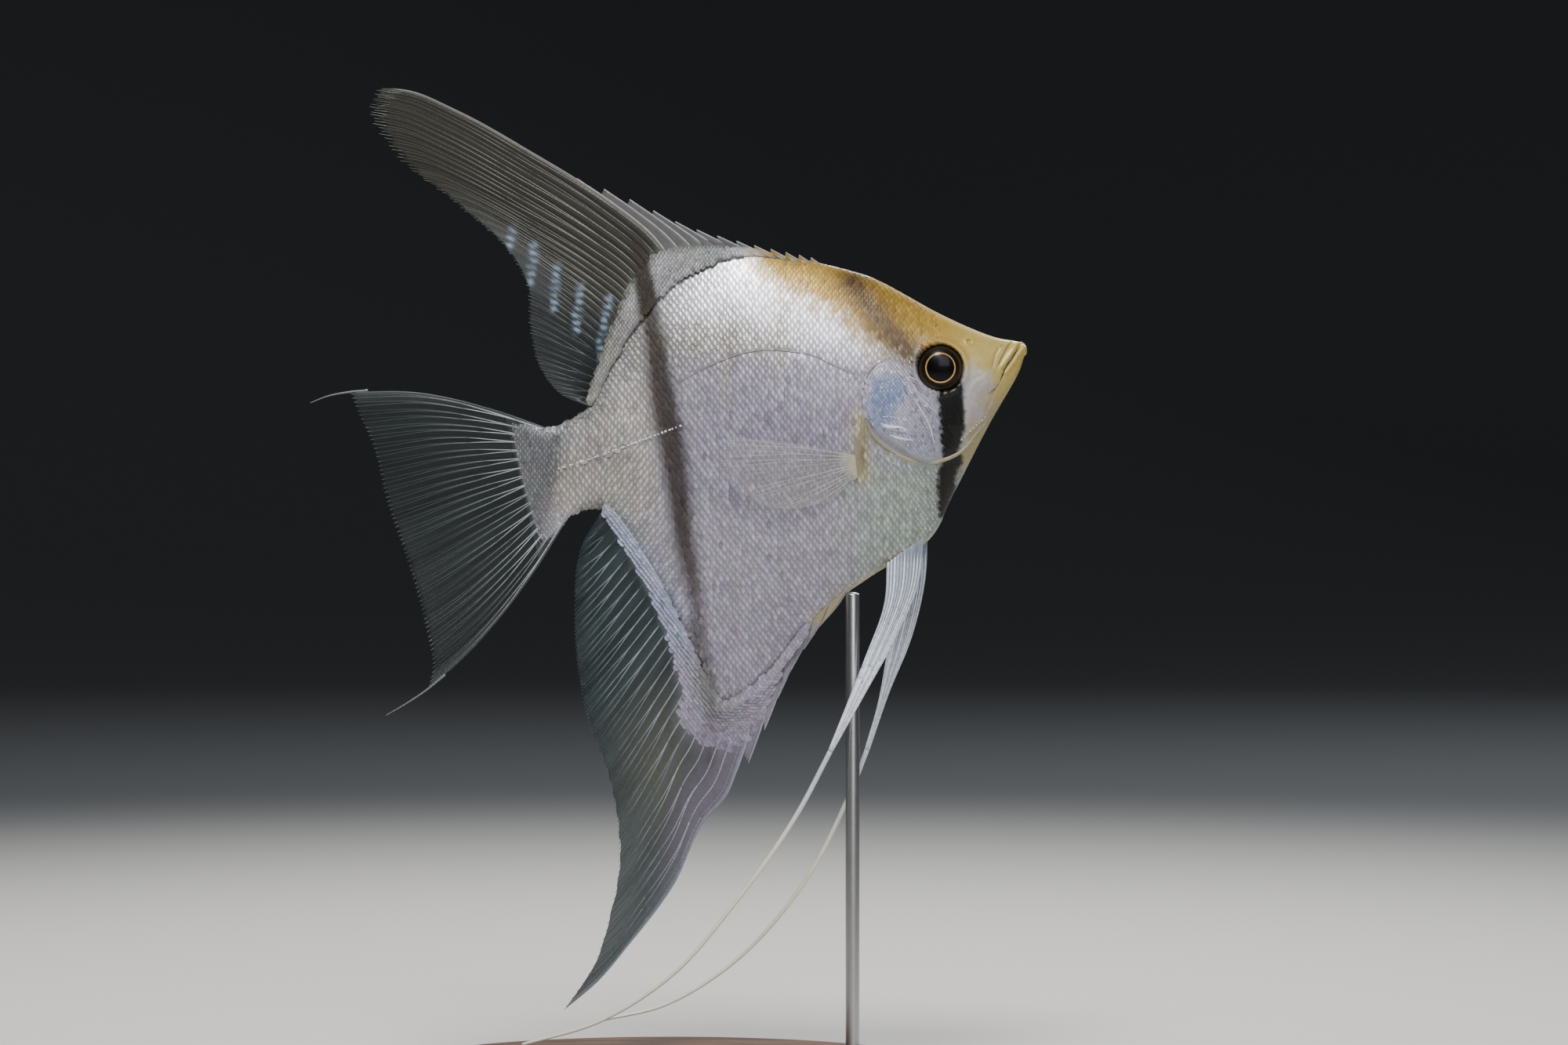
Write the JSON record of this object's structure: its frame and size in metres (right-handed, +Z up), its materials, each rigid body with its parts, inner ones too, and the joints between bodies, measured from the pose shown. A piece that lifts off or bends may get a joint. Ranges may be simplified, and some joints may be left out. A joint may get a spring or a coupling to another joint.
{
  "type": "angelfish model",
  "caption": "Life-size model of a swimming freshwater angelfish with long fins and trailing pelvic threads, held by a rod over an oval wooden base.",
  "frame": {"origin": "middle of the base's underside, under the middle of the whole model's length", "axes": "+X towards the fish's snout, +Y towards the fish's left, +Z up"},
  "size_m": [0.1278, 0.062, 0.1817],
  "materials": {
    "flesh": "scaled silver-white skin with a lilac sheen, brown-black bars and a gold nape",
    "fin": "thin translucent slate-grey web over pale rays",
    "filament": "creamy white, smooth",
    "eye": "clear and glossy, with a bronze iris and a thin gold ring",
    "stand_wood": "dark, satin",
    "stand_steel": "brushed"
  },
  "bodies": {
    "root": {"head": "flesh", "lower_jaw": "flesh", "gill_cover_right": "flesh", "gill_cover_left": "flesh", "trunk": "flesh", "tail_stalk": "flesh", "eye_right": "eye", "eye_left": "eye", "dorsal_spines": "fin", "dorsal_lobe": "fin", "anal_spines": "fin", "anal_lobe": "fin", "tail_fin": "fin", "pectoral_fin_right": "fin", "pectoral_fin_left": "fin", "pelvic_fin_right": "fin", "pelvic_fin_left": "fin", "pelvic_thread_right": "filament", "pelvic_thread_left": "filament", "tail_thread_upper": "fin", "tail_thread_lower": "fin", "stand_base": "stand_wood", "stand_rod": "stand_steel", "stand_collar": "stand_steel"}
  },
  "joints": []
}
